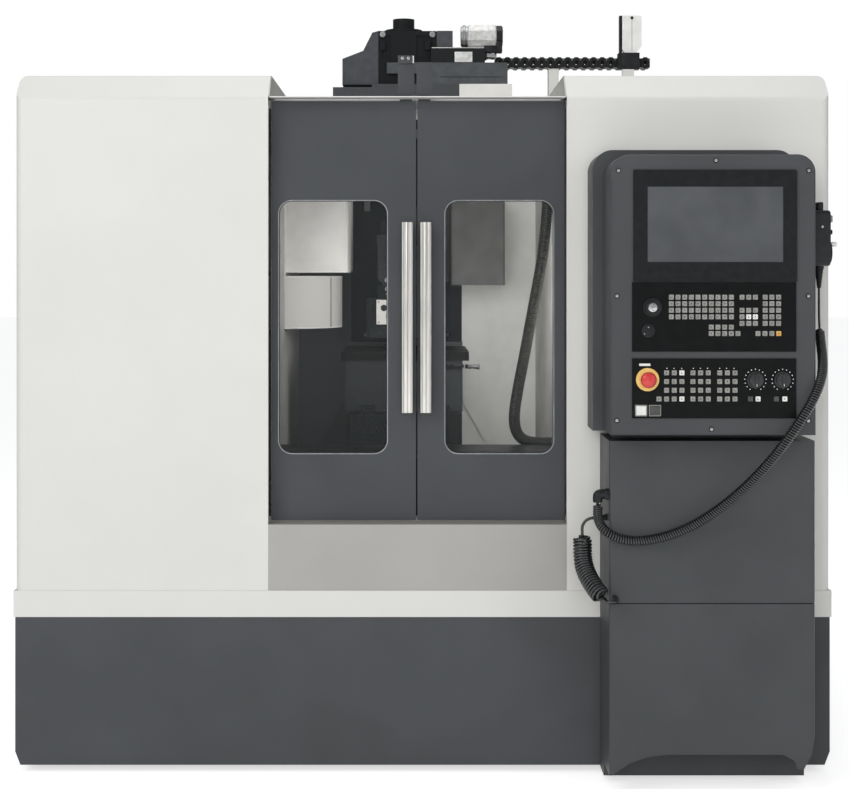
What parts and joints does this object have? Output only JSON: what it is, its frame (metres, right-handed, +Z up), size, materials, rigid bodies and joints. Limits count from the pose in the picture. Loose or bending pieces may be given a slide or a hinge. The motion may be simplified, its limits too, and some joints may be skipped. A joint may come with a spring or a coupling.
{
  "type": "cnc machining center",
  "caption": "Enclosed vertical machining centre with sliding glazed doors, T-slot table, moving column and head, tool drum, and an operator pendant on a cabinet.",
  "frame": {"origin": "on the floor, under the middle of the machine's width and of its depth with the pendant", "axes": "+Z up, the doors and the pendant face -Y, +X to the operator's right"},
  "size_m": [2.208, 2.414, 2.234],
  "materials": {
    "cover_paint": "light powder coat, satin",
    "skirt_paint": "dark grey powder coat, fine texture",
    "door_paint": "dark grey powder coat, satin",
    "apron_paint": "grey powder coat",
    "guard_paint": "grey paint inside the work area",
    "cast_paint": "dark painted casting",
    "ground_steel": "ground steel",
    "bright_metal": "brushed extrusion",
    "black_plastic": "moulded black plastic",
    "panel_film": "black printed film",
    "pendant_paint": "dark grey powder coat",
    "key_grey": "grey key caps",
    "screen_glass": "dark screen",
    "door_glass": "clear safety glass",
    "opal_plastic": "opal lens",
    "servo_shell": "machined and clear coated",
    "chain_plastic": "black chain links",
    "hose_metal": "wound steel conduit",
    "cord_rubber": "black cord sheath",
    "stop_red": "red mushroom head",
    "button_cap": "button cap",
    "housing_light": "light grey paint",
    "motor_black": "black paint"
  },
  "bodies": {
    "machine_frame": {"bed_casting": "cast_paint", "levelling_feet": "ground_steel", "base_skirt": "skirt_paint", "frame_band": "cover_paint", "left_cover": "cover_paint", "right_cover": "cover_paint", "inner_walls": "guard_paint", "middle_roof": "cover_paint", "front_apron": "apron_paint", "work_floor": "guard_paint", "back_wall": "guard_paint", "roof_posts": "cover_paint", "energy_chain": "chain_plastic", "signal_lamp": "opal_plastic", "electrical_cabinet": "cover_paint", "changer_cover": "housing_light", "drum_cover": "housing_light", "conduit_hose": "hose_metal", "pendant_rear": "pendant_paint", "pendant_front": "pendant_paint", "display_bezel": "black_plastic", "display_glass": "screen_glass", "keyboard_panel": "panel_film", "machine_panel": "panel_film", "panel_keys": "key_grey", "cabinet_upper": "pendant_paint", "cabinet_lower": "pendant_paint", "handheld_body": "black_plastic", "cord_glands": "black_plastic", "handheld_cord": "cord_rubber", "air_hose": "cord_rubber"},
    "left_door": {"left_door": "door_paint", "left_window": "door_glass", "left_handle": "bright_metal"},
    "right_door": {"right_door": "door_paint", "right_window": "door_glass", "right_handle": "bright_metal"},
    "carriage": {"column": "cast_paint", "z_rails": "ground_steel", "top_casting": "cast_paint", "x_servo": "servo_shell", "drive_beam": "pendant_paint", "x_covers": "housing_light"},
    "head": {"head_casting": "cast_paint", "spindle_motor": "motor_black", "coolant_block": "housing_light", "head_cover": "apron_paint"},
    "spindle": {"spindle": "ground_steel"},
    "table": {"saddle": "cast_paint", "table": "ground_steel"},
    "emergency_stop": {"emergency_stop": "stop_red"},
    "start_button": {"start_button": "button_cap"},
    "hold_button": {"hold_button": "button_cap"},
    "key_switch": {"key_switch": "bright_metal"},
    "feed_knob": {"feed_knob": "black_plastic"},
    "speed_knob": {"speed_knob": "black_plastic"},
    "handwheel": {"handwheel": "black_plastic"},
    "axis_knob": {"axis_knob": "bright_metal"},
    "cabinet_door": {"cabinet_door": "cover_paint"},
    "tool_drum": {"tool_drum": "ground_steel"}
  },
  "joints": [
    {"name": "left_door_slide", "type": "slide", "parent": "machine_frame", "child": "left_door", "axis": [-1, 0, 0], "range_m": [0, 0.34]},
    {"name": "right_door_slide", "type": "slide", "parent": "machine_frame", "child": "right_door", "axis": [1, 0, 0], "range_m": [0, 0.34]},
    {"name": "x_axis", "type": "slide", "parent": "machine_frame", "child": "carriage", "axis": [1, 0, 0], "range_m": [-0.07, 0.115]},
    {"name": "z_axis", "type": "slide", "parent": "carriage", "child": "head", "axis": [0, 0, 1], "range_m": [-0.02, 0.25]},
    {"name": "spindle_turn", "type": "hinge", "parent": "head", "child": "spindle", "pos_m": [-0.05, 0.051, 1.138], "axis": [0, 0, 1], "continuous": true},
    {"name": "y_axis", "type": "slide", "parent": "machine_frame", "child": "table", "axis": [0, 1, 0], "range_m": [-0.2, 0.12]},
    {"name": "drum_turn", "type": "hinge", "parent": "machine_frame", "child": "tool_drum", "pos_m": [-0.537, 0.051, 1.3], "axis": [0, 0, 1], "continuous": true},
    {"name": "stop_press", "type": "slide", "parent": "machine_frame", "child": "emergency_stop", "axis": [0, 1, 0], "range_m": [0, 0.006]},
    {"name": "start_press", "type": "slide", "parent": "machine_frame", "child": "start_button", "axis": [0, 1, 0], "range_m": [0, 0.003], "stiffness_N_per_m": 400},
    {"name": "hold_press", "type": "slide", "parent": "machine_frame", "child": "hold_button", "axis": [0, 1, 0], "range_m": [0, 0.003], "stiffness_N_per_m": 400},
    {"name": "key_turn", "type": "hinge", "parent": "machine_frame", "child": "key_switch", "pos_m": [0.5744, -1.167, 1.2606], "axis": [0, 1, 0], "range_deg": [0, 90]},
    {"name": "feed_turn", "type": "hinge", "parent": "machine_frame", "child": "feed_knob", "pos_m": [0.8328, -1.167, 1.079], "axis": [0, 1, 0], "range_deg": [-150, 150]},
    {"name": "speed_turn", "type": "hinge", "parent": "machine_frame", "child": "speed_knob", "pos_m": [0.9007, -1.167, 1.079], "axis": [0, 1, 0], "range_deg": [-150, 150]},
    {"name": "wheel_turn", "type": "hinge", "parent": "machine_frame", "child": "handwheel", "pos_m": [1.04, -1.065, 1.4], "axis": [1, 0, 0], "continuous": true},
    {"name": "axis_select", "type": "hinge", "parent": "machine_frame", "child": "axis_knob", "pos_m": [1.04, -1.065, 1.486], "axis": [1, 0, 0], "range_deg": [-90, 90]},
    {"name": "cabinet_door_hinge", "type": "hinge", "parent": "machine_frame", "child": "cabinet_door", "pos_m": [-0.421, 1.194, 1.145], "axis": [0, 0, 1], "range_deg": [0, 110]}
  ]
}
